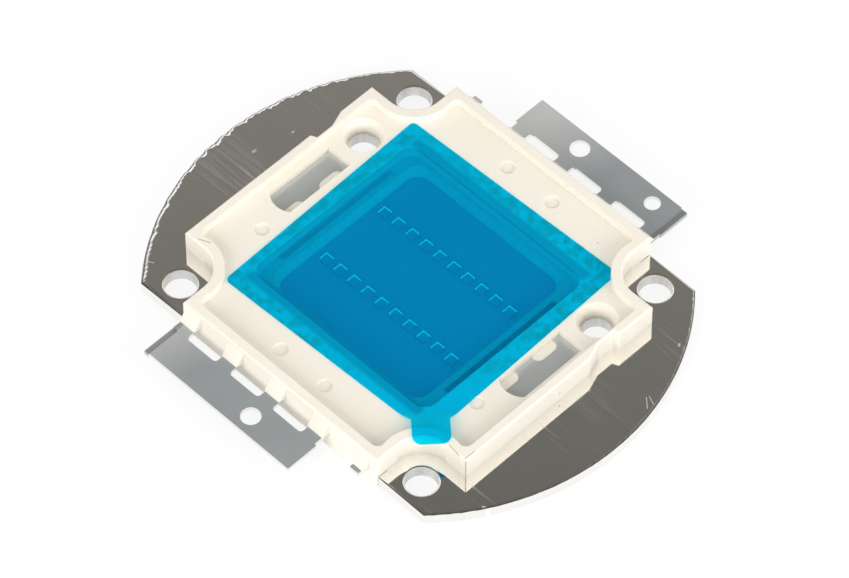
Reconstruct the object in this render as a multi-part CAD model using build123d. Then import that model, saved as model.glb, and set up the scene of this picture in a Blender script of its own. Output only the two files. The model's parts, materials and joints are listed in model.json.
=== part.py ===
from build123d import *
import math
import os

# Plan size of the frame, millimetres. Origin: middle of the plate's underside, +Z up.
frame_x = 39.0
frame_y = 39.94
edge_x = frame_x / 2
edge_y = frame_y / 2

# Heights, stacked up from the plate: plastic under the leads, leads, plastic over them, rim.
plate_t = 1.5
lead_gap = 0.5
lead_t = 0.5
lead_cover = 0.8
rim_h = 1.0
lead_top = plate_t + lead_gap + lead_t
shelf_z = lead_top + lead_cover
frame_top = shelf_z + rim_h

# Screw holes near the frame's corners, rolled at their upper edge, and the frame's notches
# that are concentric with them.
screw_in_x = 2.8
screw_in_y = 2.77
screw_d = 3.4
screw_roll = 0.2
notch_r = 3.4
screw_x = edge_x - screw_in_x
screw_y = edge_y - screw_in_y
screw_reach = math.hypot(screw_x, screw_y)
notch_x = screw_x - notch_r
notch_y = screw_y - notch_r

# Round plate past the screw holes, its rolled upper edge, its two flats, and their step
# that the skirts grip.
screw_edge = 4.0265
plate_d = 2 * (screw_reach + screw_edge)
plate_roll = 0.15
flat_inset = 0.1
grip_upper = 1.3
grip_lower = 2.0
grip_z = 0.75
skirt_lift = 0.05

# Raised rim of the frame around the shelf, with the small cuts in its two long edges.
rim_x = 1.1
rim_y = 1.0
rim_arc = 1.13
shelf_corner_r = 0.8
rim_break = 0.15
cut_depth = 0.68
cut_far = (4.45, 4.75, 6.9, 8.83)
cut_near = (4.3, 6.2, 8.3, 8.6)

# Locating holes: bore in the plate, wider bore and cone in the frame.
locate_x = 8.76
locate_edge = 3.32
locate_y = edge_y - locate_edge
locate_d = 3.1
locate_frame_d = 3.5
locate_mouth_d = 4.4

# Cavity for the chips: a well down to the plate under a wider mouth, both with draft.
well_half = 10.3
well_draft = 0.45
well_corner_r = 1.6
mouth_step_x = 0.9
mouth_step_y = 1.85
mouth_draft = 0.3
mouth_half_x = well_half + mouth_step_x
mouth_half_y = well_half + mouth_step_y

# Contact windows in the shelf; the -X end of each bows outwards.
window_x0 = -3.95
window_x1 = 5.2
window_bow = (0.45, 0.75)
window_edge = 1.82
window_w = 3.3
window_y1 = edge_y - window_edge
window_y0 = window_y1 - window_w

# Lead sheet outside the frame: strip, the legs that carry it, slots between them, holes.
strip_gap = 2.0
strip_w = 3.95
strip_x0 = edge_x + strip_gap
strip_x1 = strip_x0 + strip_w
strip_y0 = -13.3
strip_y1 = 7.3
leg_n = 4
leg_w = 1.95
leg_pitch = 6.1
leg_first = -12.26
slot_r = 0.4
tip_w = 0.75
tip_drop = 0.22
solder_inset = 1.85
solder_y = 0.12
solder_d = 2.15
sign_inset = 1.7
sign_y = -10.0
sign_d = 1.75

# Lead sheet inside the frame: side bar, bus, the neck between them, pad row, rail and tie
# bar, with the lock holes.
bar_cover = 0.8
hole_gap = 0.6
bar_x1 = edge_x - bar_cover
bar_x0 = notch_x - hole_gap
bar_y0 = hole_gap - notch_y
bar_y1 = 6.9
pad_bare = 0.7
pad_w = 0.9
pad_half = 7.8
pad_y0 = mouth_half_y - pad_bare
bus_y0 = pad_y0 + pad_w
bus_edge = 1.47
bus_y1 = edge_y - bus_edge
bus_far_x = 6.1
neck_w = 1.0
neck_h = 1.2
rail_w = 1.05
tie_y = 12.0
tie_w = 1.2
tie_out = 1.45
lock_w = 3.0
lock_h = 1.5
lock_in = 0.25
lock_y = window_y0 + lock_in
lock_xs = (2.7, -2.75)

# Gussets over the legs, a little wider than them, rooted inside the frame's side.
gusset_out = 1.0
gusset_h = 1.4
gusset_nose = 0.1
gusset_extra = 0.15
gusset_root = 0.3

# Ejector marks in the shelf.
ejector_d = 1.6
ejector_depth = 0.1
ejector_edge = 3.3
ejector_x = edge_x - ejector_edge
ejector_ys = (3.2, -3.1)
ejector_end = (-7.0, 15.3)

# Chips: two rows along Y that stop short of the well's walls, joined end to end by wires.
chip_side = 1.14
chip_t = 0.15
chip_rows = (-4.16, 4.16)
chip_n = 10
chip_clear = 0.82
chip_pitch = (2 * (well_half - chip_clear) - chip_side) / (chip_n - 1)
attach_rim = 0.05
attach_t = 0.03

# Bond wires: flat-topped loops; the lean of their ends is a share of a loop's span.
bond_inset = 0.17
bond_d = 0.12
bond_h = 0.06
wire_d = 0.05
loop_h = 0.38
loop_lean = 0.2
end_bond_y = (pad_y0 + mouth_half_y) / 2

# Protective film: a slightly turned, near-square sheet, a little larger than the square that
# reaches the rim's arcs, with a pull tab that rises over the rim.
film_t = 0.1
film_turn = 1.7
film_x = 0.13
film_y = -0.37
film_more_x = 0.17
film_more_y = 0.82
film_corner_r = 0.6
film_gap = 0.05
tab_w = 3.9
tab_len = 2.55
tab_r = 1.0
tab_turn = 1.1
tab_gap = 0.04
rise_run = 2.4
rise_gap = 0.14
rim_reach = screw_reach - notch_r - rim_arc
film_len_x = rim_reach * math.sqrt(2) + film_more_x
film_len_y = rim_reach * math.sqrt(2) + film_more_y

# Margin by which a cutting solid runs past what it cuts.
past = 1.0


def box(x0, x1, y0, y1, z0, z1):
    solid = Box(x1 - x0, y1 - y0, z1 - z0)
    return Pos((x0 + x1) / 2, (y0 + y1) / 2, (z0 + z1) / 2) * solid


def rod(x, y, d, z0, z1):
    return Pos(x, y, (z0 + z1) / 2) * Cylinder(d / 2, z1 - z0)


def slab(x0, x1, y0, y1):
    return Pos((x0 + x1) / 2, (y0 + y1) / 2) * Rectangle(x1 - x0, y1 - y0)


def corners(dx, dy):
    return [(sx * dx, sy * dy) for sx in (-1, 1) for sy in (-1, 1)]


def prism(sketch, z0, z1):
    return extrude(Pos(0, 0, z0) * sketch, z1 - z0)


# Base plate: round, cut flat on two sides, punched for screws and locating pins.
def base_plate():
    plate = rod(0, 0, plate_d, 0, plate_t)
    flat = edge_x - flat_inset
    plate = plate & box(-flat, flat, -plate_d, plate_d, 0, plate_t)
    plate = chamfer(plate.edges().group_by(Axis.Z)[-1], plate_roll)
    for side in (-1, 1):
        upper = sorted((side * (edge_x - grip_upper), side * edge_x))
        lower = sorted((side * (edge_x - grip_lower), side * edge_x))
        plate -= box(*upper, -notch_y, notch_y, grip_z, plate_t)
        plate -= box(*lower, -notch_y, notch_y, 0, grip_z)
    roll = Cone(screw_d / 2, screw_d / 2 + screw_roll, screw_roll)
    for x, y in corners(screw_x, screw_y):
        plate -= rod(x, y, screw_d, -past, plate_t + past)
        plate -= Pos(x, y, plate_t - screw_roll / 2) * roll
    for side in (-1, 1):
        plate -= rod(locate_x, side * locate_y, locate_d, -past, plate_t + past)
    return plate


# Shallow cut in a long edge of the frame: four corner points, then out past the edge.
def edge_cut(xs, side):
    outer = side * (edge_y + past)
    edge = side * edge_y
    floor = side * (edge_y - cut_depth)
    inner = [(xs[0], edge), (xs[1], floor), (xs[2], floor), (xs[3], edge)]
    points = [(xs[0], outer)] + inner + [(xs[3], outer)]
    return make_face(Polyline(*points, close=True))


# Outline of the frame: rounded screw notches and one shallow cut in each long edge.
def frame_outline():
    face = Rectangle(frame_x, frame_y)
    span = 4 * notch_r
    for x, y in corners(1, 1):
        cx = x * (notch_x + span / 2)
        cy = y * (notch_y + span / 2)
        face -= Pos(cx, cy) * RectangleRounded(span, span, notch_r)
    face -= edge_cut(cut_far, 1)
    face -= edge_cut(cut_near, -1)
    return face


# Shelf inside the rim, following the notches at an even width.
def shelf_outline():
    face = Rectangle(frame_x - 2 * rim_x, frame_y - 2 * rim_y)
    for x, y in corners(screw_x, screw_y):
        face -= Pos(x, y) * Circle(notch_r + rim_arc)
    return fillet(face.vertices(), shelf_corner_r)


# Contact window: straight long sides, straight +X end and a bowed -X end.
def window_outline(side):
    mid = (window_y0 + window_y1) / 2
    start = (window_x0 + window_bow[0], side * window_y0)
    end = (window_x0 + window_bow[1], side * window_y1)
    edges = Line(start, (window_x1, side * window_y0))
    edges += Line((window_x1, side * window_y0), (window_x1, side * window_y1))
    edges += Line((window_x1, side * window_y1), end)
    edges += ThreePointArc(end, (window_x0, side * mid), start)
    return make_face(edges)


# Straight-sided pocket with draft, between two heights.
def pocket(half_x, half_y, draft, z0, z1):
    low = RectangleRounded(2 * half_x, 2 * half_y, well_corner_r)
    high = RectangleRounded(2 * (half_x + draft), 2 * (half_y + draft), well_corner_r)
    return loft([Pos(0, 0, z0) * low, Pos(0, 0, z1) * high])


# Cavity: a well down to the plate and a wider mouth that bares a row of each lead sheet.
def cavity():
    well = pocket(well_half, well_half, well_draft, plate_t, lead_top)
    mouth = pocket(mouth_half_x, mouth_half_y, mouth_draft, lead_top, shelf_z)
    return well + mouth


# Sloped gusset on top of one leg, from the frame's side face out.
def gusset(side, y, width):
    points = [
        (edge_x - gusset_root, lead_top),
        (edge_x + gusset_out, lead_top),
        (edge_x + gusset_out, lead_top + gusset_nose),
        (edge_x, lead_top + gusset_h),
        (edge_x - gusset_root, lead_top + gusset_h),
    ]
    profile = make_face(Polyline(*[(side * px, pz) for px, pz in points], close=True))
    return Pos(0, y + width / 2, 0) * extrude(Plane.XZ * profile, width)


def leg_centres():
    return [leg_first + i * leg_pitch for i in range(leg_n)]


# Skirts of the frame on the two flats, stepped to grip the plate, and gussets above them.
def add_side(body, side):
    upper = sorted((side * (edge_x - grip_upper), side * edge_x))
    lower = sorted((side * (edge_x - grip_lower), side * edge_x))
    body += box(*upper, -notch_y, notch_y, grip_z, plate_t)
    body += box(*lower, -notch_y, notch_y, skirt_lift, grip_z)
    for y in leg_centres():
        body += gusset(side, side * y, leg_w + gusset_extra)
    body += gusset(side, side * tie_y, tie_w + gusset_extra)
    return body


# Frame moulding around the plate and the two lead sheets.
def frame(leads):
    body = prism(frame_outline(), plate_t, frame_top)
    rim_edges = body.edges().filter_by(Axis.Z, reverse=True).group_by(Axis.Z)[-1]
    body = chamfer(rim_edges, rim_break)
    body -= prism(shelf_outline(), shelf_z, frame_top + past)
    for side in (-1, 1):
        body = add_side(body, side)
    body -= cavity()
    mouth = Cone(locate_frame_d / 2, locate_mouth_d / 2, lead_cover)
    mouth = Pos(0, 0, lead_top + lead_cover / 2) * mouth
    for side in (-1, 1):
        body -= prism(window_outline(side), lead_top, shelf_z + past)
        body -= rod(locate_x, side * locate_y, locate_frame_d, plate_t, shelf_z)
        body -= Pos(locate_x, side * locate_y) * mouth
        for y in ejector_ys:
            body -= rod(side * ejector_x, y, ejector_d, shelf_z - ejector_depth, frame_top)
        end_y = side * ejector_end[1]
        body -= rod(ejector_end[0], end_y, ejector_d, shelf_z - ejector_depth, frame_top)
    for lead in leads:
        body -= lead
    return body


# Plan of the sheet on the +X side: strip, slotted web of legs, side bar, bus on -Y, pads.
def lead_outline():
    half_leg = leg_w / 2
    face = slab(strip_x0, strip_x1, strip_y0, strip_y1)
    legs = leg_centres()
    face += slab(bar_x1, strip_x0, legs[0] - half_leg, legs[-1] + half_leg)
    face += slab(bar_x0, bar_x1, bar_y0, bar_y1)
    face += slab(-bus_far_x, bar_x0, -bus_y1, -bus_y0)
    face += slab(bar_x0 - neck_w, bar_x0, -bus_y0, bar_y0 + neck_h)
    face += slab(-pad_half, pad_half, -bus_y0, -pad_y0)
    face += slab(-bar_x1, bar_x0, -bus_y0 - rail_w, -bus_y0)
    face += slab(-edge_x - tie_out, -bar_x1, -tie_y - tie_w / 2, -tie_y + tie_w / 2)
    face += slab(-bar_x1, -bar_x1 + tie_w, -bus_y0, -tie_y + tie_w / 2)
    for y in legs[:-1]:
        slot = RectangleRounded(strip_x0 - bar_x1, leg_pitch - leg_w, slot_r)
        face -= Pos((bar_x1 + strip_x0) / 2, y + leg_pitch / 2) * slot
    return face


def lead(mirror_x):
    """Lead sheet; mirror_x is -1 for the sheet turned half round to the -X side."""
    face = lead_outline()
    for x in lock_xs:
        face -= Pos(mirror_x * x, -lock_y) * SlotOverall(lock_w, lock_h)
    face -= Pos(mirror_x * locate_x, -locate_y) * Circle(locate_frame_d / 2 + hole_gap)
    face -= Pos(strip_x1 - solder_inset, solder_y) * Circle(solder_d / 2)
    if mirror_x > 0:
        face -= Pos(strip_x1 - sign_inset, sign_y) * Circle(sign_d / 2)
    low = lead_top - lead_t
    sheet = prism(face, low, lead_top)
    tip_end = strip_y0 + tip_w
    sheet -= box(strip_x0, strip_x1, strip_y0, tip_end, lead_top - tip_drop, lead_top)
    sheet += box(strip_x0, strip_x1, strip_y0, tip_end, low - tip_drop, low)
    if mirror_x < 0:
        sheet = Rot(0, 0, 180) * sheet
    return sheet


def chip_y(i):
    return (i - (chip_n - 1) / 2) * chip_pitch


# Square tile on the plate's side of height z0, centred at x, y.
def tile(x, y, side, z0, thickness):
    half = side / 2
    return box(x - half, x + half, y - half, y + half, z0, z0 + thickness)


def chip(x, y):
    return tile(x, y, chip_side, plate_t + attach_t, chip_t)


def die_attach():
    side = chip_side + 2 * attach_rim
    return [tile(x, chip_y(i), side, plate_t, attach_t) for x in chip_rows for i in range(chip_n)]


# Foot of a bond wire, pressed flat on its pad.
def bond_foot(x, y, z):
    return prism(Pos(x, y) * RegularPolygon(bond_d / 2, 6), z, z + bond_h)


# One bond wire between two pads, through a flat-topped loop of straight runs.
def wire(x, y0, z0, y1, z1):
    crest = max(z0, z1) + loop_h
    lean = loop_lean * (y1 - y0)
    foot = bond_h / 2
    start = (x, y0, z0 + foot)
    end = (x, y1, z1 + foot)
    path = Polyline(start, (x, y0 + lean, crest), (x, y1 - lean, crest), end)
    section = Plane(origin=path @ 0, z_dir=path % 0) * RegularPolygon(wire_d / 2, 6)
    strand = sweep(section, path, transition=Transition.RIGHT)
    return strand + bond_foot(x, y0, z0) + bond_foot(x, y1, z1)


def wires(x):
    z = plate_t + attach_t + chip_t
    inset = chip_side / 2 - bond_inset
    row = []
    for i in range(chip_n - 1):
        row.append(wire(x, chip_y(i) + inset, z, chip_y(i + 1) - inset, z))
    last = chip_y(chip_n - 1) + inset
    row.append(wire(x, last, z, end_bond_y, lead_top))
    row.append(wire(x, -last, z, -end_bond_y, lead_top))
    return row


# Film outline in plan: rounded sheet and a rounded tab at the -X -Y corner.
def film_outline():
    sheet = RectangleRounded(film_len_x, film_len_y, film_corner_r)
    tip = rim_reach - film_corner_r + tab_len
    root = rim_reach / 2
    tab = Pos((tip + root) / 2, 0) * RectangleRounded(tip - root, tab_w, tab_r)
    tab = Rot(0, 0, 225 + tab_turn) * tab
    return Pos(film_x, film_y) * Rot(0, 0, film_turn) * (sheet + tab)


# The film: flat on the shelf, then bent up along the diagonal to clear the rim. A corner
# that meets the rim's arc lower down is trimmed to it.
def film():
    low = shelf_z
    high = frame_top + tab_gap
    rise_end = rim_reach - rise_gap
    rise_start = rise_end - rise_run
    far = plate_d / 2
    under = [(-far, low), (rise_start, low), (rise_end, high), (far, high)]
    over = [(s, z + film_t) for s, z in reversed(under)]
    profile = make_face(Polyline(*(under + over), close=True))
    bent = Rot(0, 0, 225) * extrude(Plane.XZ * profile, far, both=True)
    sheet = prism(film_outline(), low - past, high + past) & bent
    for x, y in corners(screw_x, screw_y):
        sheet -= rod(x, y, 2 * (notch_r + rim_arc + film_gap), low - past, frame_top)
    return sheet


# Encapsulant: fills the cavity level with the shelf, around the chips and wires.
def encapsulant(inside):
    gel = cavity()
    for solid in inside:
        gel -= solid
    return gel


def save(name, shape):
    export_step(shape, "parts/" + name + ".step")


def main():
    os.makedirs("parts", exist_ok=True)
    lead_pos = lead(1)
    lead_neg = lead(-1)
    pads = die_attach()
    chips = [chip(x, chip_y(i)) for x in chip_rows for i in range(chip_n)]
    wires_neg = wires(chip_rows[0])
    wires_pos = wires(chip_rows[1])
    save("base_plate", base_plate())
    save("frame", frame([lead_pos, lead_neg]))
    save("lead_positive", lead_pos)
    save("lead_negative", lead_neg)
    save("die_attach", Compound(children=pads))
    for i, one in enumerate(chips):
        save("chip_%02d" % (i + 1), one)
    save("bond_wires_a", Compound(children=wires_neg))
    save("bond_wires_b", Compound(children=wires_pos))
    gel = encapsulant([lead_pos, lead_neg] + pads + chips + wires_neg + wires_pos)
    save("encapsulant", gel)
    save("protective_film", film())


main()
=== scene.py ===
import math

import bmesh
import bpy
from mathutils import Matrix, Vector, noise
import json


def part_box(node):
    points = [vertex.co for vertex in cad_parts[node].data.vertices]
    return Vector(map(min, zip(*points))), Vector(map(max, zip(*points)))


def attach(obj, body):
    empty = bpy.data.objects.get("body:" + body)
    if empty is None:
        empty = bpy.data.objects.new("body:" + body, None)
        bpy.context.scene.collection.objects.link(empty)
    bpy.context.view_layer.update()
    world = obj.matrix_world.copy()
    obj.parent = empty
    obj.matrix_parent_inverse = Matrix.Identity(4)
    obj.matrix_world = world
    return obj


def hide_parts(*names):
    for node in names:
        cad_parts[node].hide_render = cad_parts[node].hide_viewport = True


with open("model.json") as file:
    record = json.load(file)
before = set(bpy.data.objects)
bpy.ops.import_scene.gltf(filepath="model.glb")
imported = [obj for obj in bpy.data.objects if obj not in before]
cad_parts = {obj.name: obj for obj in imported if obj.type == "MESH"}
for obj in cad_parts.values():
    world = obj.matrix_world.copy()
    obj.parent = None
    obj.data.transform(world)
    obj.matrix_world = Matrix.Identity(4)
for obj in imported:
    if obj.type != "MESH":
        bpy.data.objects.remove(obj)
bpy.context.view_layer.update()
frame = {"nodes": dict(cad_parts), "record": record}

# Base plate. The real one is a 1.5 mm copper blank, punched round with two flats, four
# screw holes and two locating holes, then bright nickel plated. The frame is moulded on
# it, and its shear edge stays rolled over and a little torn.

MM = 0.001
mounts = {m["name"]: m for m in frame["record"]["mounts"]}
plate_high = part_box("base_plate")[1]
frame_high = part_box("frame")[1]
plate_t = plate_high.z
plate_r = plate_high.y
flat_x = plate_high.x
screw_dims = mounts["screw_pattern"]["dims"]
screw_x = screw_dims["spacing_x_mm"] / 2 * MM
screw_y = screw_dims["spacing_y_mm"] / 2 * MM
screw_r = screw_dims["hole_r_mm"] * MM
locate_x, locate_y = mounts["locating_hole_far"]["pos_m"][:2]
locate_r = mounts["locating_hole_far"]["dims"]["r_mm"] * MM
notch_r = 3.4 * MM
notch_y = screw_y - notch_r
grip_z = 0.75 * MM
grip_low_x = frame_high.y - 2.47 * MM
grip_high_x = grip_low_x + 0.7 * MM
well_half = 10.3 * MM
well_corner = 1.6 * MM
underside_roll = 0.05 * MM
flat_roll = 0.12 * MM
screw_roll = 0.2 * MM
locate_roll = 0.05 * MM
near_roll = 0.26 * MM
near_waver = 0.08 * MM
far_roll = 0.2 * MM
torn_roll = 0.4 * MM
arc_count = 320
hole_count = 72

# Profiles of the rolled edges, each step as shares of the roll: inwards and down.
edge_steps = ((0, 0.62), (0.48, 0.26), (0.92, 0.03), (1, 0))
hole_steps = ((1, 0), (0.45, 0.25), (0.12, 0.6), (0, 1))

# The plate's material slots.
FACE, WELL_FLOOR, HOLE_WALL, TORN_EDGE = range(4)


def linear(code):
    channels = [int(code[i:i + 2], 16) / 255 for i in (1, 3, 5)]
    curve = [c / 12.92 if c <= 0.04045 else ((c + 0.055) / 1.055) ** 2.4 for c in channels]
    return (*curve, 1.0)


def add(tree, kind, inputs=None, **settings):
    node = tree.nodes.new(kind)
    for key, value in settings.items():
        setattr(node, key, value)
    for key, value in (inputs or {}).items():
        if isinstance(value, bpy.types.NodeSocket):
            tree.links.new(value, node.inputs[key])
        else:
            node.inputs[key].default_value = value
    return node


def new_material(name):
    material = bpy.data.materials.new(name)
    material.use_nodes = True
    material.node_tree.nodes.clear()
    return material, material.node_tree


def finish_piece(mesh, name, materials=(), nodes=()):
    piece = bpy.data.objects.new(name, mesh)
    bpy.context.scene.collection.objects.link(piece)
    for material in materials:
        mesh.materials.append(material)
    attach(piece, "root")
    if nodes:
        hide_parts(*nodes)


def stroke(tree, place, start, end, width):
    """Mask of a straight mark between two points in millimetres, soft at its sides."""
    start, way = Vector(start) * MM, (Vector(end) - Vector(start)) * MM
    gone = add(tree, "ShaderNodeVectorMath", {0: place, 1: start}, operation="SUBTRACT")
    along = add(tree, "ShaderNodeVectorMath", {
        0: gone.outputs[0], 1: way / way.length_squared}, operation="DOT_PRODUCT")
    share = add(tree, "ShaderNodeClamp", {"Value": along.outputs["Value"]})
    nearest = add(tree, "ShaderNodeVectorMath", {
        0: way, "Scale": share.outputs[0]}, operation="SCALE")
    gap = add(tree, "ShaderNodeVectorMath", {
        0: gone.outputs[0], 1: nearest.outputs[0]}, operation="DISTANCE")
    mask = add(tree, "ShaderNodeMapRange", {
        "Value": gap.outputs["Value"], "From Max": width * MM, "To Min": 1, "To Max": 0})
    return mask.outputs[0]


def strokes(tree, place, marks, value):
    """The strongest of a value and some strokes, each seen from above."""
    flat = add(tree, "ShaderNodeVectorMath", {0: place, 1: (1, 1, 0)}, operation="MULTIPLY")
    for start, end, width in marks:
        mark = stroke(tree, flat.outputs[0], (*start, 0), (*end, 0), width)
        value = add(tree, "ShaderNodeMath", {0: value, 1: mark}, operation="MAXIMUM").outputs[0]
    return value


def arc(cx, cy, r, start, end, count):
    """Points of an arc; angles in degrees, both ends included."""
    turns = [math.radians(start + (end - start) * i / count) for i in range(count + 1)]
    return [Vector((cx + r * math.cos(a), cy + r * math.sin(a))) for a in turns]


def rounded(half_x, half_y, r):
    points = []
    for i, (sx, sy) in enumerate(((1, 1), (-1, 1), (-1, -1), (1, -1))):
        points += arc(sx * (half_x - r), sy * (half_y - r), r, 90 * i, 90 * i + 90, 10)
    return points


def inset(points, depths):
    """Outline moved inwards by its own depth at each point, with mitred corners."""
    moved = []
    for i, here in enumerate(points):
        back = (here - points[i - 1]).normalized()
        ahead = (points[(i + 1) % len(points)] - here).normalized()
        inward = Vector((-back.y - ahead.y, back.x + ahead.x)).normalized()
        reach = max(0.4, inward.dot(Vector((-back.y, back.x))))
        moved.append(here + inward * depths[i] / reach)
    return moved


def ring_at(bm, points, heights):
    return [bm.verts.new((p.x, p.y, z)) for p, z in zip(points, heights)]


def ring(bm, points, z):
    return ring_at(bm, points, [z] * len(points))


def bridge(bm, lower, upper, index=FACE):
    for i in range(len(lower)):
        face = bm.faces.new((lower[i - 1], lower[i], upper[i], upper[i - 1]))
        face.material_index = index


def plate_outline(grip_x):
    corner = math.degrees(math.acos(flat_x / plate_r))
    half = [Vector((grip_x, -notch_y)), Vector((grip_x, notch_y)), Vector((flat_x, notch_y))]
    half += arc(0, 0, plate_r, corner, 180 - corner, arc_count)
    half.append(Vector((-flat_x, notch_y)))
    return half + [-p for p in half]


def edge_roll(p):
    """Width of the rolled edge at a point: even on the near side, wide and torn far off."""
    if abs(p.length - plate_r) > 1e-6:
        return flat_roll
    torn = noise.noise(Vector((p.x, p.y, 0)) / (1.3 * MM)) + 0.8 * noise.noise(
        Vector((p.x, p.y, 5)) / (0.45 * MM))
    far = max(0, min(1, (p.y - p.x) / (20 * MM)))
    jagged = max(0.3, min(1, (p.x + 13 * MM) / (6 * MM)))
    tear = far * (far_roll + torn_roll * jagged * max(-0.4, torn))
    return near_roll + near_waver * torn + tear


def plate_mesh():
    bm = bmesh.new()
    low = plate_outline(grip_low_x)
    high = plate_outline(grip_high_x)
    roll = [edge_roll(p) for p in high]
    rings = [
        ring(bm, inset(low, [underside_roll] * len(low)), 0),
        ring(bm, low, underside_roll),
        ring(bm, low, grip_z),
        ring(bm, high, grip_z),
    ]
    for share, drop in edge_steps:
        rings.append(ring_at(bm, inset(high, [share * r for r in roll]), [
            plate_t - drop * r for r in roll]))
    for i in range(len(rings) - 1):
        bridge(bm, rings[i], rings[i + 1], TORN_EDGE if i == 4 else FACE)
    signs = (-1, 1)
    holes = [(sx * screw_x, sy * screw_y, screw_r, screw_roll) for sx in signs for sy in signs]
    holes += [(locate_x, sy * locate_y, locate_r, locate_roll) for sy in signs]
    floor = ring(bm, rounded(well_half, well_half, well_corner), plate_t)
    tops, bottoms = [rings[-1], floor], [rings[0]]
    for x, y, r, roll_in in holes:
        steps = []
        for share, drop in hole_steps:
            mouth = arc(x, y, r + share * roll_in, 0, 360, hole_count)[:-1]
            steps.append(ring(bm, mouth, plate_t - drop * roll_in))
        steps.append(ring(bm, arc(x, y, r, 0, 360, hole_count)[:-1], underside_roll))
        steps.append(ring(bm, arc(x, y, r + underside_roll, 0, 360, hole_count)[:-1], 0))
        for i in range(len(steps) - 1):
            bridge(bm, steps[i], steps[i + 1], HOLE_WALL if i == 3 else FACE)
        tops.append(steps[0])
        bottoms.append(steps[-1])
    bm.faces.new(floor).material_index = WELL_FLOOR
    for loops in (tops, bottoms):
        edges = [bm.edges.get((loop[i - 1], loop[i])) for loop in loops for i in range(len(loop))]
        bmesh.ops.triangle_fill(bm, use_beauty=True, edges=edges)
    bmesh.ops.recalc_face_normals(bm, faces=bm.faces)
    mesh = bpy.data.meshes.new("plate")
    bm.to_mesh(mesh)
    bm.free()
    mesh.set_sharp_from_angle(angle=math.radians(38))
    for face in mesh.polygons:
        face.use_smooth = abs(face.normal.z) < 0.9999
    return mesh


# Handling marks on the plate, each from one point to another with its width: a crossed
# pair of scratches, two dents and a few short scratches. The wiped patch is a broad one.
plate_marks = [
    ((-18.2, 21.6), (-16.2, 22.2), 0.09),
    ((-17.6, 22.6), (-16.8, 21.0), 0.08),
    ((0.2, 24.1), (0.5, 24.1), 0.22),
    ((4.8, 23.05), (5.0, 23.05), 0.18),
    ((5.4, -26.9), (6.3, -25.9), 0.08),
    ((6.2, -27.0), (6.6, -26.0), 0.08),
    ((13.2, -23.8), (13.4, -23.7), 0.18),
    ((-14.6, -23.6), (-14.2, -24.2), 0.12),
]
wiped_patch = ((-2.2, 21.5), (-2.8, 26.0), 3.6)


# Bright nickel over copper: a near-perfect mirror, so the frame's walls double in it. Fine
# drawing lines from the sheet and random handling scratches break the mirror a little.
def nickel():
    material, tree = new_material("bright nickel plating")
    place = add(tree, "ShaderNodeTexCoord").outputs["Object"]
    drawn = add(tree, "ShaderNodeMapping", {
        "Vector": place, "Rotation": (0, 0, math.radians(4)), "Scale": (1.9 / MM, 0.11 / MM, 1)})
    lines = add(tree, "ShaderNodeTexNoise", {
        "Vector": drawn.outputs["Vector"], "Scale": 1, "Detail": 3})
    swirl = add(tree, "ShaderNodeTexNoise", {"Vector": place, "Scale": 0.13 / MM, "Detail": 4})
    crossed = add(tree, "ShaderNodeMapping", {
        "Vector": place, "Rotation": (0, 0, math.radians(-28)), "Scale": (3.2 / MM, 0.09 / MM, 1)})
    marks = add(tree, "ShaderNodeTexNoise", {
        "Vector": crossed.outputs["Vector"], "Scale": 1, "Detail": 1})
    fine = add(tree, "ShaderNodeMapRange", {
        "Value": marks.outputs[0], "From Min": 0.66, "From Max": 0.8, "To Max": 0.2})
    scratches = strokes(tree, place, plate_marks, fine.outputs[0])
    rubbed = add(tree, "ShaderNodeTexNoise", {"Vector": place, "Scale": 0.09 / MM, "Detail": 1})
    worn = add(tree, "ShaderNodeMapRange", {
        "Value": rubbed.outputs[0], "From Min": 0.55, "From Max": 0.75, "To Max": 0.3})
    wiped = strokes(tree, place, [wiped_patch], worn.outputs[0])
    deep = add(tree, "ShaderNodeMapRange", {
        "Value": lines.outputs[0], "From Min": 0.42, "From Max": 0.66})
    combed = add(tree, "ShaderNodeMath", {
        0: wiped, 1: deep.outputs[0]}, operation="MULTIPLY")
    rough = add(tree, "ShaderNodeMapRange", {
        "Value": swirl.outputs[0], "From Min": 0.35, "From Max": 0.7,
        "To Min": 0.02, "To Max": 0.08})
    rougher = add(tree, "ShaderNodeMath", {
        0: scratches, 1: 0.6, 2: rough.outputs[0]}, operation="MULTIPLY_ADD")
    rougher = add(tree, "ShaderNodeMath", {
        0: combed.outputs[0], 1: 0.4, 2: rougher.outputs[0]}, operation="MULTIPLY_ADD")
    haze = add(tree, "ShaderNodeMath", {
        0: combed.outputs[0], 1: -0.16, 2: 1.0}, operation="MULTIPLY_ADD")
    haze = add(tree, "ShaderNodeMath", {
        0: scratches, 1: -0.4, 2: haze.outputs[0]}, operation="MULTIPLY_ADD")
    tone = add(tree, "ShaderNodeMix", {
        0: lines.outputs[0], 6: linear("#f4f2ee"), 7: linear("#fbf9f6")}, data_type="RGBA")
    relief = add(tree, "ShaderNodeMath", {
        0: scratches, 1: -1.0, 2: combed.outputs[0]}, operation="MULTIPLY_ADD")
    bump = add(tree, "ShaderNodeBump", {
        "Strength": 0.5, "Distance": 0.002 * MM, "Height": relief.outputs[0]})
    metal = add(tree, "ShaderNodeBsdfPrincipled", {
        "Base Color": tone.outputs[2], "Metallic": haze.outputs[0],
        "Roughness": rougher.outputs[0],
        "Normal": bump.outputs["Normal"]})
    add(tree, "ShaderNodeOutputMaterial", {"Surface": metal.outputs[0]})
    return material


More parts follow.
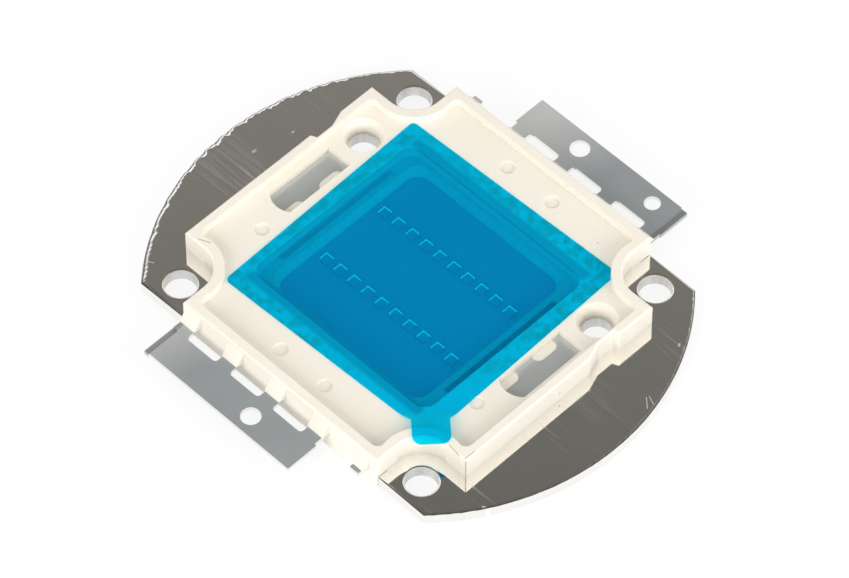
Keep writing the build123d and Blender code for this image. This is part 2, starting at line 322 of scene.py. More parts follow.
# Sheared metal, in a punched hole's wall or at the blank's torn edge: duller than the
# plate's face and drawn downwards.
def sheared(name, dark, light):
    material, tree = new_material(name)
    place = add(tree, "ShaderNodeTexCoord").outputs["Object"]
    drawn = add(tree, "ShaderNodeMapping", {
        "Vector": place, "Scale": (0.9 / MM, 0.9 / MM, 0.06 / MM)})
    bands = add(tree, "ShaderNodeTexNoise", {"Vector": drawn.outputs["Vector"], "Scale": 1})
    tone = add(tree, "ShaderNodeMix", {
        0: bands.outputs[0], 6: linear(dark), 7: linear(light)}, data_type="RGBA")
    rough = add(tree, "ShaderNodeMapRange", {
        "Value": bands.outputs[0], "To Min": 0.35, "To Max": 0.55})
    metal = add(tree, "ShaderNodeBsdfPrincipled", {
        "Base Color": tone.outputs[2], "Metallic": 0.9, "Roughness": rough.outputs[0]})
    add(tree, "ShaderNodeOutputMaterial", {"Surface": metal.outputs[0]})
    return material


# Silver on the well's floor: matt and pale, to throw the chips' light back out.
def reflector():
    material, tree = new_material("matt silver reflector")
    place = add(tree, "ShaderNodeTexCoord").outputs["Object"]
    cloud = add(tree, "ShaderNodeTexNoise", {"Vector": place, "Scale": 0.26 / MM, "Detail": 3})
    tone = add(tree, "ShaderNodeMix", {
        0: cloud.outputs[0], 6: linear("#b1c2d3"), 7: linear("#b8c8d8")}, data_type="RGBA")
    rough = add(tree, "ShaderNodeMapRange", {
        "Value": cloud.outputs[0], "To Min": 0.3, "To Max": 0.42})
    metal = add(tree, "ShaderNodeBsdfPrincipled", {
        "Base Color": tone.outputs[2], "Roughness": rough.outputs[0]})
    add(tree, "ShaderNodeOutputMaterial", {"Surface": metal.outputs[0]})
    return material


finish_piece(
    plate_mesh(), "punched_plate", [
        nickel(), reflector(), sheared("sheared hole wall", "#b3b1ac", "#ffffff"),
        sheared("torn shear edge", "#55534f", "#a9a7a2")],
    ["base_plate"])

# Lead sheets. Each is stamped from 0.5 mm copper sheet and plated a dull silver. The
# frame is moulded over the inner half, and the slotted strip outside takes the wires.

lead_edge = 0.04 * MM

# Where the tips step down, where the strips begin and where the frame's windows begin, and
# the stretch over which the plating is painted brighter, a painted reflection of the room.
tip_y = 12.68 * MM
strip_x = 20.0 * MM
window_y = (13.5 * MM, 14.5 * MM)
bright_from, bright_to = 2 * MM, 12 * MM


def softened(node, name, width, materials, sunk=None):
    """A copy of a CAD node, merged, with its sharp edges broken by a small bevel.

    A second material goes to the side walls. Sunk is a height, and by how much the faces
    at that height are lowered.
    """
    bm = bmesh.new()
    bm.from_mesh(frame["nodes"][node].data)
    bmesh.ops.remove_doubles(bm, verts=bm.verts, dist=1e-7)
    bmesh.ops.dissolve_limit(bm, angle_limit=math.radians(0.5), verts=bm.verts, edges=bm.edges)
    for v in bm.verts:
        if sunk and abs(v.co.z - sunk[0]) < 1e-6:
            v.co.z -= sunk[1]
    bm.normal_update()
    for face in bm.faces:
        face.material_index = int(len(materials) > 1 and abs(face.normal.z) < 0.5)
    mesh = bpy.data.meshes.new(name)
    bm.to_mesh(mesh)
    bm.free()
    for material in materials:
        mesh.materials.append(material)
    draft = bpy.data.objects.new(name + "_draft", mesh)
    bpy.context.scene.collection.objects.link(draft)
    bevel = draft.modifiers.new("edge", "BEVEL")
    bevel.width = width
    bevel.segments = 2
    bevel.limit_method = "ANGLE"
    bevel.angle_limit = math.radians(35)
    depsgraph = bpy.context.evaluated_depsgraph_get()
    done = bpy.data.meshes.new_from_object(draft.evaluated_get(depsgraph))
    bpy.data.objects.remove(draft)
    done.name = name
    done.shade_smooth()
    done.set_sharp_from_angle(angle=math.radians(30))
    for face in done.polygons:
        face.use_smooth = max(abs(side) for side in face.normal) < 0.9999
    return done


# Silver plating that has dulled unevenly: a cloudy soft grey, with painted light and shade. It is
# painted lighter towards the far side, a painted reflection of the room's bright wall, held at a
# middle tone in the frame's windows as painted light and shade, and painted dark on the strips'
# stepped tips, the painted shade of the step.
def silver(name, dark, light, metallic, roughness):
    material, tree = new_material(name)
    place = add(tree, "ShaderNodeTexCoord").outputs["Object"]
    cloud = add(tree, "ShaderNodeTexNoise", {"Vector": place, "Scale": 0.17 / MM, "Detail": 3})
    grain = add(tree, "ShaderNodeTexNoise", {"Vector": place, "Scale": 9 / MM, "Detail": 2})
    sides = add(tree, "ShaderNodeSeparateXYZ", {"Vector": place})
    # Painted reflection: lighter towards the far side, where the plating shows the room's bright
    # wall.
    along = add(tree, "ShaderNodeMath", {
        0: sides.outputs["X"], 1: 0.25, 2: sides.outputs["Y"]}, operation="MULTIPLY_ADD")
    far = add(tree, "ShaderNodeMapRange", {
        "Value": along.outputs[0], "From Min": bright_from, "From Max": bright_to,
        "To Max": 0.75})
    across = add(tree, "ShaderNodeMath", {0: sides.outputs["Y"]}, operation="ABSOLUTE")
    inner = add(tree, "ShaderNodeMapRange", {
        "Value": across.outputs[0], "From Min": window_y[0], "From Max": window_y[1]})
    # Painted light and shade: inside the frame's windows the tone is held at a fixed middle value.
    bright = add(tree, "ShaderNodeMix", {
        0: inner.outputs[0], 2: far.outputs[0], 3: 0.3})
    mottle_and_light = add(tree, "ShaderNodeMath", {
        0: cloud.outputs[0], 1: 0.25, 2: bright.outputs[0]}, operation="MULTIPLY_ADD",
        use_clamp=True)
    tone = add(tree, "ShaderNodeMix", {
        0: mottle_and_light.outputs[0], 6: linear(dark), 7: linear(light)}, data_type="RGBA")
    # Painted shade of the step: the strips' tips past the step, outside the frame, turn towards a
    # dark grey.
    turn = add(tree, "ShaderNodeMath", {0: sides.outputs["X"]}, operation="SIGN")
    tip_way = add(tree, "ShaderNodeMath", {
        0: turn.outputs[0], 1: sides.outputs["Y"]}, operation="MULTIPLY")
    stepped = add(tree, "ShaderNodeMapRange", {
        "Value": tip_way.outputs[0], "From Min": -tip_y - lead_edge, "From Max": -tip_y,
        "To Min": 0.45, "To Max": 0})
    span = add(tree, "ShaderNodeMath", {0: sides.outputs["X"]}, operation="ABSOLUTE")
    outdoors = add(tree, "ShaderNodeMapRange", {
        "Value": span.outputs[0], "From Min": strip_x - 0.1 * MM, "From Max": strip_x})
    shaded = add(tree, "ShaderNodeMath", {
        0: stepped.outputs[0], 1: outdoors.outputs[0]}, operation="MULTIPLY")
    tone = add(tree, "ShaderNodeMix", {
        0: shaded.outputs[0], 6: tone.outputs[2], 7: linear("#6c6d6b")}, data_type="RGBA")
    rough = add(tree, "ShaderNodeMapRange", {
        "Value": cloud.outputs[0], "To Min": roughness, "To Max": roughness + 0.12})
    bump = add(tree, "ShaderNodeBump", {
        "Strength": 0.25, "Distance": 0.002 * MM, "Height": grain.outputs[0]})
    metal = add(tree, "ShaderNodeBsdfPrincipled", {
        "Base Color": tone.outputs[2], "Metallic": metallic, "Roughness": rough.outputs[0],
        "Normal": bump.outputs["Normal"]})
    add(tree, "ShaderNodeOutputMaterial", {"Surface": metal.outputs[0]})
    return material


silver_face = silver("dull silver plating", "#aab0b3", "#f2f3f0", 0.5, 0.28)
silver_edge = silver("bright sheared edge", "#efedea", "#fbfaf8", 1.0, 0.12)
for side in ("positive", "negative"):
    node = "lead_" + side
    name = "lead_sheet_" + side
    sheet = softened(node, name, lead_edge, [silver_face, silver_edge])
    finish_piece(sheet, name, nodes=[node])

# Frame. The real one is an ivory, glass-filled plastic, moulded round the plate and both
# lead sheets. It is satin, lets a little light in, and picks up specks in handling.

# Darker marks on the plastic, each from one point to another with its width: thin lines near two
# corners, and specks.
frame_marks = [
    ((-13.3, -19.95), (-13.29, -19.95), 0.09),
    ((-13.1, -17.4), (-13.25, -19.0), 0.06),
    ((-13.2, -19.7), (-11.8, -19.75), 0.06),
    ((-12.9, 18.4), (-12.4, 17.2), 0.07),
    ((13.49, -7.56), (13.5, -7.5), 0.12),
    ((13.92, -9.25), (13.9, -9.2), 0.13),
    ((15.75, -10.0), (15.7, -10.0), 0.1),
]


# Satin ivory: warm and even, with light that soaks in a little at the edges and a few
# brown specks.
def ivory():
    material, tree = new_material("ivory moulded plastic")
    place = add(tree, "ShaderNodeTexCoord").outputs["Object"]
    cloud = add(tree, "ShaderNodeTexNoise", {"Vector": place, "Scale": 0.14 / MM, "Detail": 3})
    spark = add(tree, "ShaderNodeTexNoise", {"Vector": place, "Scale": 12 / MM, "Detail": 2})
    tone = add(tree, "ShaderNodeMix", {
        0: cloud.outputs[0], 6: linear("#ede6d8"), 7: linear("#f1ebdf")}, data_type="RGBA")
    specks = add(tree, "ShaderNodeTexVoronoi", {"Vector": place, "Scale": 0.42 / MM})
    dot = add(tree, "ShaderNodeMapRange", {
        "Value": specks.outputs["Distance"], "From Min": 0.03, "From Max": 0.06,
        "To Min": 1, "To Max": 0})
    chance = add(tree, "ShaderNodeSeparateColor", {"Color": specks.outputs["Color"]})
    rare = add(tree, "ShaderNodeMath", {
        0: chance.outputs[0], 1: 0.93}, operation="GREATER_THAN")
    speck = add(tree, "ShaderNodeMath", {
        0: dot.outputs[0], 1: rare.outputs[0]}, operation="MULTIPLY")
    dark_marks = strokes(tree, place, frame_marks, speck.outputs[0])
    marked_tone = add(tree, "ShaderNodeMix", {
        0: dark_marks, 6: tone.outputs[2], 7: linear("#8a7a66")}, data_type="RGBA")
    rough = add(tree, "ShaderNodeMapRange", {
        "Value": cloud.outputs[0], "To Min": 0.4, "To Max": 0.52})
    bump = add(tree, "ShaderNodeBump", {
        "Strength": 0.3, "Distance": 0.004 * MM, "Height": spark.outputs[0]})
    plastic = add(tree, "ShaderNodeBsdfPrincipled", {
        "Base Color": marked_tone.outputs[2], "Roughness": rough.outputs[0], "IOR": 1.5,
        "Specular IOR Level": 0.35, "Normal": bump.outputs["Normal"],
        "Subsurface Weight": 0.25, "Subsurface Radius": (1.0, 0.8, 0.55),
        "Subsurface Scale": 0.5 * MM})
    add(tree, "ShaderNodeOutputMaterial", {"Surface": plastic.outputs[0]})
    return material


frame_edge = 0.07 * MM
shelf_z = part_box("protective_film")[0].z
ejector_marks = (shelf_z - 0.1 * MM, 0.08 * MM)
shell = softened("frame", "moulded_frame", frame_edge, [ivory()], ejector_marks)
finish_piece(shell, "moulded_frame", nodes=["frame"])

# Chips and their solder. Twenty clear-bodied chips sit in two rows on thin pads of die
# attach. A painted highlight runs along two edges of each chip: a near-white strip that glows
# a little, standing in for the glint of those edges.


# A small metal part: one tone with a slight cloud in its shade and gloss.
def plain_metal(name, dark, light, roughness):
    material, tree = new_material(name)
    place = add(tree, "ShaderNodeTexCoord").outputs["Object"]
    cloud = add(tree, "ShaderNodeTexNoise", {"Vector": place, "Scale": 4 / MM, "Detail": 2})
    tone = add(tree, "ShaderNodeMix", {
        0: cloud.outputs[0], 6: linear(dark), 7: linear(light)}, data_type="RGBA")
    rough = add(tree, "ShaderNodeMapRange", {
        "Value": cloud.outputs[0], "To Min": roughness, "To Max": roughness + 0.12})
    metal = add(tree, "ShaderNodeBsdfPrincipled", {
        "Base Color": tone.outputs[2], "Metallic": 0.6, "Roughness": rough.outputs[0]})
    add(tree, "ShaderNodeOutputMaterial", {"Surface": metal.outputs[0]})
    return material


# Clear crystal on the silver floor: nearly the floor's own shade, with a hard gloss.
def sapphire():
    material, tree = new_material("polished chip face")
    place = add(tree, "ShaderNodeTexCoord").outputs["Object"]
    cloud = add(tree, "ShaderNodeTexNoise", {"Vector": place, "Scale": 2.5 / MM, "Detail": 2})
    tone = add(tree, "ShaderNodeMix", {
        0: cloud.outputs[0], 6: linear("#b1c2d3"), 7: linear("#b8c8d8")}, data_type="RGBA")
    face = add(tree, "ShaderNodeBsdfPrincipled", {
        "Base Color": tone.outputs[2], "Roughness": 0.25, "IOR": 1.77})
    add(tree, "ShaderNodeOutputMaterial", {"Surface": face.outputs[0]})
    return material


row_n = 10
chip_names = ["chip_%02d" % (i + 1) for i in range(2 * row_n)]
chip_face = sapphire()
solder_face = plain_metal("pale die attach", "#b1c2d3", "#bccbda", 0.4)
for name in chip_names + ["die_attach"]:
    faces = frame["nodes"][name].data.materials
    faces.clear()
    faces.append(solder_face if name == "die_attach" else chip_face)

chip_low, chip_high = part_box(chip_names[0])
chip_side = chip_high.x - chip_low.x
chip_mid = (chip_low + chip_high) / 2
next_mid = sum(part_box(chip_names[1]), Vector()) / 2
other_row = sum(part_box(chip_names[row_n]), Vector()) / 2
chip_pitch = next_mid.y - chip_mid.y
row_gap = other_row.x - chip_mid.x


def group_input(tree, name, kind, value):
    socket = tree.interface.new_socket(name, in_out="INPUT", socket_type=kind)
    socket.default_value = value
    return socket.identifier


def grown(tree, name, values):
    """Runs a geometry tree on an empty mesh and returns the plain mesh that it makes."""
    draft = bpy.data.objects.new(name + "_draft", bpy.data.meshes.new(name + "_draft"))
    bpy.context.scene.collection.objects.link(draft)
    maker = draft.modifiers.new("maker", "NODES")
    maker.node_group = tree
    for identifier, value in values.items():
        maker[identifier] = value
    depsgraph = bpy.context.evaluated_depsgraph_get()
    mesh = bpy.data.meshes.new_from_object(draft.evaluated_get(depsgraph))
    draft.modifiers.remove(maker)
    bpy.data.objects.remove(draft)
    mesh.name = name
    return mesh


def glint_tree(material):
    tree = bpy.data.node_groups.new("chip tracks", "GeometryNodeTree")
    ids = [
        group_input(tree, "Side", "NodeSocketFloat", 1.0),
        group_input(tree, "Radius", "NodeSocketFloat", 0.1),
        group_input(tree, "Pitch", "NodeSocketFloat", 1.0),
        group_input(tree, "Row gap", "NodeSocketFloat", 1.0),
        group_input(tree, "Start", "NodeSocketVector", (0, 0, 0)),
    ]
    tree.interface.new_socket("Geometry", in_out="OUTPUT", socket_type="NodeSocketGeometry")
    source = add(tree, "NodeGroupInput")
    side, radius, pitch, gap, start = [source.outputs[i] for i in range(5)]
    half = add(tree, "ShaderNodeMath", {0: side, 1: 0.5}, operation="MULTIPLY").outputs[0]
    short = add(tree, "ShaderNodeMath", {0: side, 1: -0.5}, operation="MULTIPLY").outputs[0]
    left = add(tree, "ShaderNodeCombineXYZ", {"X": short, "Y": half}).outputs[0]
    corner = add(tree, "ShaderNodeCombineXYZ", {"X": half, "Y": half}).outputs[0]
    right = add(tree, "ShaderNodeCombineXYZ", {"X": half, "Y": short}).outputs[0]
    first = add(tree, "GeometryNodeCurvePrimitiveLine", {"Start": left, "End": corner})
    second = add(tree, "GeometryNodeCurvePrimitiveLine", {"Start": corner, "End": right})
    both = add(tree, "GeometryNodeJoinGeometry")
    tree.links.new(first.outputs[0], both.inputs[0])
    tree.links.new(second.outputs[0], both.inputs[0])
    profile = add(tree, "GeometryNodeCurvePrimitiveCircle", {"Resolution": 6, "Radius": radius})
    strip = add(tree, "GeometryNodeCurveToMesh", {
        "Curve": both.outputs[0], "Profile Curve": profile.outputs[0], "Fill Caps": True})
    rows = add(tree, "ShaderNodeCombineXYZ", {"X": gap}).outputs[0]
    column = add(tree, "ShaderNodeCombineXYZ", {"Y": pitch}).outputs[0]
    pair = add(tree, "GeometryNodeMeshLine", {
        "Count": 2, "Start Location": start, "Offset": rows}, mode="OFFSET")
    line = add(tree, "GeometryNodeMeshLine", {
        "Count": row_n, "Offset": column}, mode="OFFSET")
    lines = add(tree, "GeometryNodeInstanceOnPoints", {
        "Points": pair.outputs[0], "Instance": line.outputs[0]})
    points = add(tree, "GeometryNodeRealizeInstances", {"Geometry": lines.outputs[0]})
    glints = add(tree, "GeometryNodeInstanceOnPoints", {
        "Points": points.outputs[0], "Instance": strip.outputs[0]})
    real = add(tree, "GeometryNodeRealizeInstances", {"Geometry": glints.outputs[0]})
    painted = add(tree, "GeometryNodeSetMaterial", {
        "Geometry": real.outputs[0], "Material": material})
    add(tree, "NodeGroupOutput", {0: painted.outputs[0]})
    return tree, ids


# Painted glint: a near-white strip with a faint glow of its own, painted light standing in for the
# glint of a chip's edges.
def painted_glint():
    material, tree = new_material("painted chip edge glint")
    place = add(tree, "ShaderNodeTexCoord").outputs["Object"]
    cloud = add(tree, "ShaderNodeTexNoise", {"Vector": place, "Scale": 3 / MM, "Detail": 1})
    tone = add(tree, "ShaderNodeMix", {
        0: cloud.outputs[0], 6: linear("#d8e6ee"), 7: linear("#ffffff")}, data_type="RGBA")
    face = add(tree, "ShaderNodeBsdfPrincipled", {
        "Base Color": tone.outputs[2], "Roughness": 0.5,
        "Emission Color": linear("#e6fbff"), "Emission Strength": 0.5})
    add(tree, "ShaderNodeOutputMaterial", {"Surface": face.outputs[0]})
    return material


glint_maker, glint_ids = glint_tree(painted_glint())
glint_r = 0.065 * MM
glint_start = (chip_mid.x, chip_mid.y, chip_high.z)
glints = grown(glint_maker, "chip_tracks", dict(zip(
    glint_ids, (chip_side - 2 * glint_r, glint_r, chip_pitch, row_gap, glint_start))))
finish_piece(glints, "chip_tracks")

# Clear silicone. It is poured into the cavity round the chips and cures level with the
# shelf, soft and colourless.

gel_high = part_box("encapsulant")[1]
lead_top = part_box("lead_negative")[1].z
gel_gap = 0.008 * MM
well_draft = 0.45 * MM
mouth_draft = 0.3 * MM


def gel_mesh():
    bm = bmesh.new()
    mouth_x, mouth_y = gel_high.x, gel_high.y
    steps = [
        (well_half, well_half, plate_t - gel_gap),
        (well_half + well_draft, well_half + well_draft, lead_top - gel_gap),
        (mouth_x - mouth_draft, mouth_y - mouth_draft, lead_top - gel_gap),
        (mouth_x, mouth_y, gel_high.z - gel_gap),
    ]
    rings = [ring(bm, rounded(x + gel_gap, y + gel_gap, well_corner), z) for x, y, z in steps]
    for i in range(len(rings) - 1):
        bridge(bm, rings[i], rings[i + 1])
    bm.faces.new(reversed(rings[0]))
    bm.faces.new(rings[-1])
    bmesh.ops.recalc_face_normals(bm, faces=bm.faces)
    mesh = bpy.data.meshes.new("clear_silicone")
    bm.to_mesh(mesh)
    bm.free()
    return mesh


# Clear silicone: it lets the chips show, a touch cooler, with a faint haze.
def silicone():
    material, tree = new_material("clear silicone")
    place = add(tree, "ShaderNodeTexCoord").outputs["Object"]
    haze = add(tree, "ShaderNodeTexNoise", {"Vector": place, "Scale": 0.3 / MM, "Detail": 2})
    share = add(tree, "ShaderNodeMapRange", {
        "Value": haze.outputs[0], "To Min": 0.01, "To Max": 0.04})
    clear = add(tree, "ShaderNodeBsdfTransparent", {"Color": linear("#e7e3e8")})
    body = add(tree, "ShaderNodeBsdfPrincipled", {
        "Base Color": linear("#dfe8ec"), "Roughness": 0.12, "IOR": 1.41})
    both = add(tree, "ShaderNodeMixShader", {
        0: share.outputs[0], 1: clear.outputs[0], 2: body.outputs[0]})
    add(tree, "ShaderNodeOutputMaterial", {"Surface": both.outputs[0]})
    return material


finish_piece(gel_mesh(), "clear_silicone", [silicone()], ["encapsulant"])

# Bond wires. Each row of chips is joined end to end by fine gold wire, bonded by heat and
# ultrasound, with a longer loop at each end down to the pad row of a lead sheet.

wire_r = 0.0125 * MM
loop_rise = 0.5 * MM
bond_inset = 0.2 * MM
end_bond_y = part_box("bond_wires_a")[1].y - 0.08 * MM
gold = plain_metal("gold wire", "#e8bd6c", "#ffdc90", 0.2)


def wire_tree(material):
    tree = bpy.data.node_groups.new("bond wires", "GeometryNodeTree")
    ids = [
        group_input(tree, "Count", "NodeSocketInt", 1),
        group_input(tree, "Pitch", "NodeSocketVector", (0, 0, 0)),
        group_input(tree, "Start", "NodeSocketVector", (0, 0, 0)),
        group_input(tree, "End", "NodeSocketVector", (0, 0, 0)),
        group_input(tree, "Rise", "NodeSocketVector", (0, 0, 0)),
        group_input(tree, "Radius", "NodeSocketFloat", 0.1),
    ]
    tree.interface.new_socket("Geometry", in_out="OUTPUT", socket_type="NodeSocketGeometry")
    source = add(tree, "NodeGroupInput")
    count, pitch, start, end, rise, radius = [source.outputs[i] for i in range(6)]
    over_start = add(tree, "ShaderNodeVectorMath", {0: start, 1: rise}).outputs[0]
    over_end = add(tree, "ShaderNodeVectorMath", {0: end, 1: rise}).outputs[0]
    loop = add(tree, "GeometryNodeCurvePrimitiveBezierSegment", {
        "Resolution": 14, "Start": start, "Start Handle": over_start,
        "End Handle": over_end, "End": end})
    profile = add(tree, "GeometryNodeCurvePrimitiveCircle", {"Resolution": 8, "Radius": radius})
    strand = add(tree, "GeometryNodeCurveToMesh", {
        "Curve": loop.outputs[0], "Profile Curve": profile.outputs[0], "Fill Caps": True})
    line = add(tree, "GeometryNodeMeshLine", {"Count": count, "Offset": pitch}, mode="OFFSET")
    strands = add(tree, "GeometryNodeInstanceOnPoints", {
        "Points": line.outputs[0], "Instance": strand.outputs[0]})
    real = add(tree, "GeometryNodeRealizeInstances", {"Geometry": strands.outputs[0]})
    painted = add(tree, "GeometryNodeSetMaterial", {
        "Geometry": real.outputs[0], "Material": material})
    add(tree, "NodeGroupOutput", {0: painted.outputs[0]})
    return tree, ids


wire_maker, wire_ids = wire_tree(gold)
bond = chip_side / 2 - bond_inset
row_half = chip_pitch * (row_n - 1) / 2
row_end = row_half + bond
for row, node in enumerate(("bond_wires_a", "bond_wires_b")):
    x = chip_mid.x + row * row_gap
    top = chip_high.z
    runs = [
        (row_n - 1, -row_half + bond, top, -row_half + chip_pitch - bond, top),
        (1, row_end, top, end_bond_y, lead_top),
        (1, -row_end, top, -end_bond_y, lead_top),
    ]
    bm = bmesh.new()
    for count, start_y, start_z, end_y, end_z in runs:
        part = grown(wire_maker, "wire_run", dict(zip(wire_ids, (
            count, (0, chip_pitch, 0), (x, start_y, start_z), (x, end_y, end_z),
            (0, 0, loop_rise), wire_r))))
        bm.from_mesh(part)
    mesh = bpy.data.meshes.new("gold_wires_" + node[-1])
    bm.to_mesh(mesh)
    bm.free()
    mesh.shade_smooth()
    finish_piece(mesh, mesh.name, [gold], [node])

# Protective film. A square of blue see-through plastic, laid a little askew on the shelf
# by its own cling, with a pull tab that climbs over the frame's rim at one corner.

film_t = 0.1 * MM
film_lift = 0.015 * MM
film_wave = 0.01 * MM
cell = 0.5 * MM
first_cell, last_cell = -36, 32

# The climb of the tab, measured from the middle towards the corner.
rim_w = 1.13 * MM
rim_lift = 0.04 * MM
rise_run = 2.4 * MM
rise_end = math.hypot(screw_x, screw_y) - notch_r - rim_w - 0.14 * MM
rise_start = rise_end - rise_run

# How far out the film begins to cling in patches, the band over the cavity's mouth where its
# tint is painted darker as painted shade, and the sum of x and y past which the tab is even.
cling_from, cling_to = 12.0 * MM, 12.8 * MM
mouth_shade_x = (11.1 * MM, 11.4 * MM, 12.2 * MM, 12.6 * MM)
mouth_shade_y = (12.0 * MM, 12.5 * MM)
tab_from, tab_to = -20 * MM, -16 * MM


def climb(x, y, soft):
    """Height that the film has gained at x, y on its way over the rim's corner."""
    along = -(x + y) / math.sqrt(2)
    share = min(1, max(0, (along - rise_start) / (rise_end - rise_start)))
    if soft:
        share = share * share * (3 - 2 * share)
    return share * (frame_high.z + rim_lift - shelf_z)


def film_mesh():
    bm = bmesh.new()
    bm.from_mesh(frame["nodes"]["protective_film"].data)
    bmesh.ops.remove_doubles(bm, verts=bm.verts, dist=1e-7)
    bmesh.ops.dissolve_limit(bm, angle_limit=math.radians(0.5), verts=bm.verts, edges=bm.edges)
    for step in range(first_cell, last_cell + 1):
        for normal in ((1, 0, 0), (0, 1, 0)):
            at = Vector(normal) * step * cell
            every = bm.verts[:] + bm.edges[:] + bm.faces[:]
            bmesh.ops.bisect_plane(bm, geom=every, dist=1e-8, plane_co=at, plane_no=normal)
    for v in bm.verts:
        x, y, z = v.co
        upper = z - shelf_z - climb(x, y, False) > film_t / 2
        wave = noise.noise(Vector((x, y, 0)) / (3.2 * MM)) * film_wave
        v.co.z = shelf_z + film_lift + wave + climb(x, y, True) + upper * film_t
    mesh = bpy.data.meshes.new("peel_off_film")
    bm.to_mesh(mesh)
    bm.free()
    mesh.shade_smooth()
    mesh.set_sharp_from_angle(angle=math.radians(40))
    return mesh


# Blue film: it scatters part of the light itself and tints what shows through. Its tint is
# painted darker in a band over the cavity's mouth, painted shade, and it clings in patches further
# out.
def blue_film():
    material, tree = new_material("blue peel-off film")
    place = add(tree, "ShaderNodeTexCoord").outputs["Object"]
    patch = add(tree, "ShaderNodeTexNoise", {
        "Vector": place, "Scale": 1.1 / MM, "Detail": 3, "Distortion": 0.3})
    broad = add(tree, "ShaderNodeTexNoise", {"Vector": place, "Scale": 0.11 / MM, "Detail": 1})
    spots = add(tree, "ShaderNodeMapRange", {
        "Value": patch.outputs[0], "From Min": 0.42, "From Max": 0.58})
    loose = add(tree, "ShaderNodeMapRange", {
        "Value": broad.outputs[0], "From Min": 0.3, "From Max": 0.45})
    size = add(tree, "ShaderNodeVectorMath", {0: place}, operation="ABSOLUTE")
    sides = add(tree, "ShaderNodeSeparateXYZ", {"Vector": size.outputs[0]})
    reach = add(tree, "ShaderNodeMath", {
        0: sides.outputs["X"], 1: sides.outputs["Y"]}, operation="MAXIMUM")
    outer = add(tree, "ShaderNodeMapRange", {
        "Value": reach.outputs[0], "From Min": cling_from, "From Max": cling_to})
    signed = add(tree, "ShaderNodeSeparateXYZ", {"Vector": place})
    corner = add(tree, "ShaderNodeMath", {
        0: signed.outputs["X"], 1: signed.outputs["Y"]}, operation="ADD")
    flat = add(tree, "ShaderNodeMapRange", {
        "Value": corner.outputs[0], "From Min": tab_from, "From Max": tab_to})
    edge = add(tree, "ShaderNodeMath", {
        0: outer.outputs[0], 1: flat.outputs[0]}, operation="MULTIPLY")
    lifted = add(tree, "ShaderNodeMath", {
        0: edge.outputs[0], 1: loose.outputs[0]}, operation="MULTIPLY")
    share = add(tree, "ShaderNodeMath", {
        0: spots.outputs[0], 1: lifted.outputs[0]}, operation="MULTIPLY")
    tone = add(tree, "ShaderNodeMix", {
        0: share.outputs[0], 6: linear("#0096da"), 7: linear("#068cbc")}, data_type="RGBA")
    tint = add(tree, "ShaderNodeMix", {
        0: share.outputs[0], 6: linear("#00e7ff"), 7: linear("#27d9ec")}, data_type="RGBA")
    # Painted shade: over the cavity's mouth, on the two x sides, the tint is darker.
    inside = add(tree, "ShaderNodeMapRange", {
        "Value": sides.outputs["X"], "From Min": mouth_shade_x[0], "From Max": mouth_shade_x[1]})
    outside = add(tree, "ShaderNodeMapRange", {
        "Value": sides.outputs["X"], "From Min": mouth_shade_x[2], "From Max": mouth_shade_x[3],
        "To Min": 1, "To Max": 0})
    within = add(tree, "ShaderNodeMapRange", {
        "Value": sides.outputs["Y"], "From Min": mouth_shade_y[0], "From Max": mouth_shade_y[1],
        "To Min": 1, "To Max": 0})
    mouth_shade = add(tree, "ShaderNodeMath", {
        0: inside.outputs[0], 1: outside.outputs[0]}, operation="MULTIPLY")
    mouth_shade = add(tree, "ShaderNodeMath", {
        0: mouth_shade.outputs[0], 1: within.outputs[0]}, operation="MULTIPLY")
    tint = add(tree, "ShaderNodeMix", {
        0: mouth_shade.outputs[0], 6: tint.outputs[2], 7: linear("#00cfe8")}, data_type="RGBA")
    clear = add(tree, "ShaderNodeBsdfTransparent", {"Color": tint.outputs[2]})
    body = add(tree, "ShaderNodeBsdfPrincipled", {
        "Base Color": tone.outputs[2], "Roughness": 0.35, "Specular IOR Level": 0.1})
    film = add(tree, "ShaderNodeMixShader", {0: 0.22, 1: clear.outputs[0], 2: body.outputs[0]})
    side = add(tree, "ShaderNodeNewGeometry")
    through = add(tree, "ShaderNodeBsdfTransparent")
    both = add(tree, "ShaderNodeMixShader", {
        0: side.outputs["Backfacing"], 1: film.outputs[0], 2: through.outputs[0]})
    add(tree, "ShaderNodeOutputMaterial", {"Surface": both.outputs[0]})
    return material


finish_piece(film_mesh(), "peel_off_film", [blue_film()], ["protective_film"])

# Table and room. A white table under a soft, even light; the room above the table is a
# dim grey, which is what the mirror plate shows from the camera's side.

table_half = 1.2


def table():
    mesh = bpy.data.meshes.new("table")
    bm = bmesh.new()
    bmesh.ops.create_grid(bm, x_segments=1, y_segments=1, size=table_half)
    bm.to_mesh(mesh)
    bm.free()
    material, tree = new_material("white table")
    place = add(tree, "ShaderNodeTexCoord").outputs["Object"]
    cloud = add(tree, "ShaderNodeTexNoise", {"Vector": place, "Scale": 6})
    tone = add(tree, "ShaderNodeMix", {
        0: cloud.outputs[0], 6: linear("#fbfbfb"), 7: linear("#ffffff")}, data_type="RGBA")
    matt = add(tree, "ShaderNodeBsdfDiffuse", {"Color": tone.outputs[2]})
    white = add(tree, "ShaderNodeEmission", {"Strength": 1.0})
    path = add(tree, "ShaderNodeLightPath")
    seen = add(tree, "ShaderNodeMath", {
        0: path.outputs["Is Camera Ray"], 1: path.outputs["Is Glossy Ray"]}, operation="MAXIMUM")
    seen = add(tree, "ShaderNodeMath", {
        0: seen.outputs[0], 1: path.outputs["Is Transmission Ray"]}, operation="MAXIMUM")
    share = add(tree, "ShaderNodeMath", {0: seen.outputs[0], 1: 0.85}, operation="MULTIPLY")
    both = add(tree, "ShaderNodeMixShader", {
        0: share.outputs[0], 1: matt.outputs[0], 2: white.outputs[0]})
    add(tree, "ShaderNodeOutputMaterial", {"Surface": both.outputs[0]})
    mesh.materials.append(material)
    floor = bpy.data.objects.new("table", mesh)
    bpy.context.scene.collection.objects.link(floor)


table()


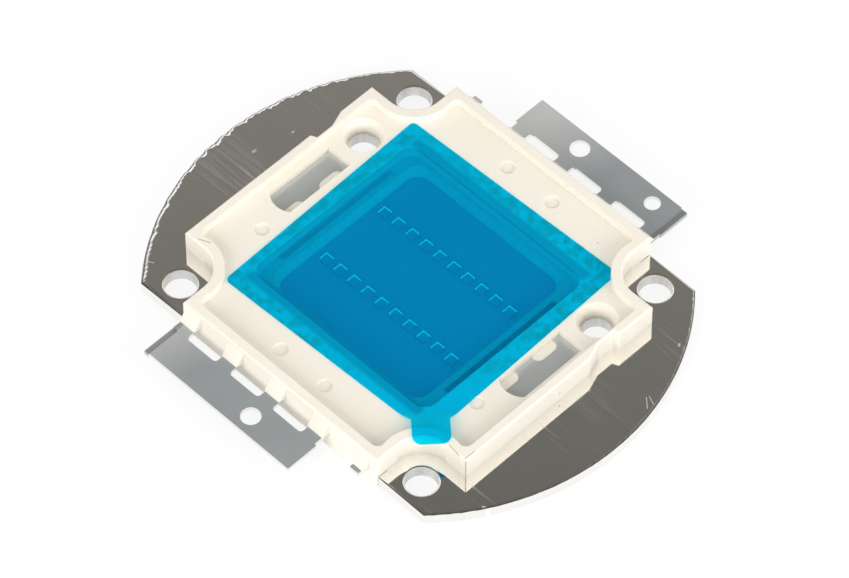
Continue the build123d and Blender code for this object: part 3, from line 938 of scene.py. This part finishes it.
# An even light for all that is matt. The mirror plate sees white low down and a grey
# ceiling, darker overhead, and the camera sees white.
def room():
    world = bpy.data.worlds.new("room")
    bpy.context.scene.world = world
    world.use_nodes = True
    tree = world.node_tree
    tree.nodes.clear()
    way = add(tree, "ShaderNodeSeparateXYZ", {
        "Vector": add(tree, "ShaderNodeTexCoord").outputs["Generated"]})
    height = add(tree, "ShaderNodeMapRange", {
        "Value": way.outputs["Z"], "From Min": 0.25, "From Max": 0.55})
    overhead = add(tree, "ShaderNodeMapRange", {
        "Value": way.outputs["Z"], "From Min": 0.78, "From Max": 0.83})
    ceiling = add(tree, "ShaderNodeMix", {
        0: overhead.outputs[0], 6: linear("#827f7b"), 7: linear("#656560")}, data_type="RGBA")
    shown = add(tree, "ShaderNodeMix", {
        0: height.outputs[0], 6: linear("#ffffff"), 7: ceiling.outputs[2]}, data_type="RGBA")
    path = add(tree, "ShaderNodeLightPath")
    lit = add(tree, "ShaderNodeMix", {
        0: path.outputs["Is Glossy Ray"], 6: linear("#dddddd"), 7: shown.outputs[2]},
        data_type="RGBA")
    seen = add(tree, "ShaderNodeMath", {
        0: path.outputs["Is Camera Ray"], 1: path.outputs["Is Transmission Ray"]},
        operation="MAXIMUM")
    colour = add(tree, "ShaderNodeMix", {
        0: seen.outputs[0], 6: lit.outputs[2], 7: linear("#ffffff")}, data_type="RGBA")
    sky = add(tree, "ShaderNodeBackground", {"Color": colour.outputs[2]})
    add(tree, "ShaderNodeOutputWorld", {"Surface": sky.outputs[0]})


room()


# Soft lamps, low down on the left and on the near side, which no mirror shows.
def lamp(name, place, size, power):
    light = bpy.data.lights.new(name, "AREA")
    light.shape = "DISK"
    light.size = size
    light.energy = power
    holder = bpy.data.objects.new(name, light)
    holder.location = place
    holder.rotation_euler = (-Vector(place)).to_track_quat("-Z", "Y").to_euler()
    holder.visible_glossy = False
    bpy.context.scene.collection.objects.link(holder)


lamp("lamp_left", (-0.55, -0.1, 0.26), 0.4, 2.0)
lamp("lamp_right", (0.1, -0.6, 0.22), 0.4, 2.3)

# Camera, at the photograph's angle. Turn and height are degrees, lengths millimetres from
# the middle of the plate's top, and the picture is 849 by 578.

view_turn = math.radians(-44.98)
view_height = math.radians(53.4756)
view_roll = math.radians(-0.1022)
view_far = 637.1
view_shift = (-0.6638, 0.2930)
focal_px = 9.902 * view_far
picture_w = 849

back = Vector((
    math.sin(view_turn) * math.cos(view_height),
    -math.cos(view_turn) * math.cos(view_height),
    math.sin(view_height)))
level = Vector((math.cos(view_turn), math.sin(view_turn), 0))
upright = back.cross(level)
right = level * math.cos(view_roll) + upright * math.sin(view_roll)
up = upright * math.cos(view_roll) - level * math.sin(view_roll)
eye = back * view_far - right * view_shift[0] - up * view_shift[1]
lens = bpy.data.cameras.new("camera")
lens.sensor_width = 36
lens.lens = focal_px / picture_w * lens.sensor_width
lens.clip_start = 0.01
camera = bpy.data.objects.new("camera", lens)
turned = Matrix((right, up, back)).transposed()
camera.matrix_world = Matrix.Translation(eye * MM + Vector((0, 0, plate_t))) @ turned.to_4x4()
bpy.context.scene.collection.objects.link(camera)
bpy.context.scene.camera = camera
bpy.context.scene.view_settings.view_transform = "Standard"
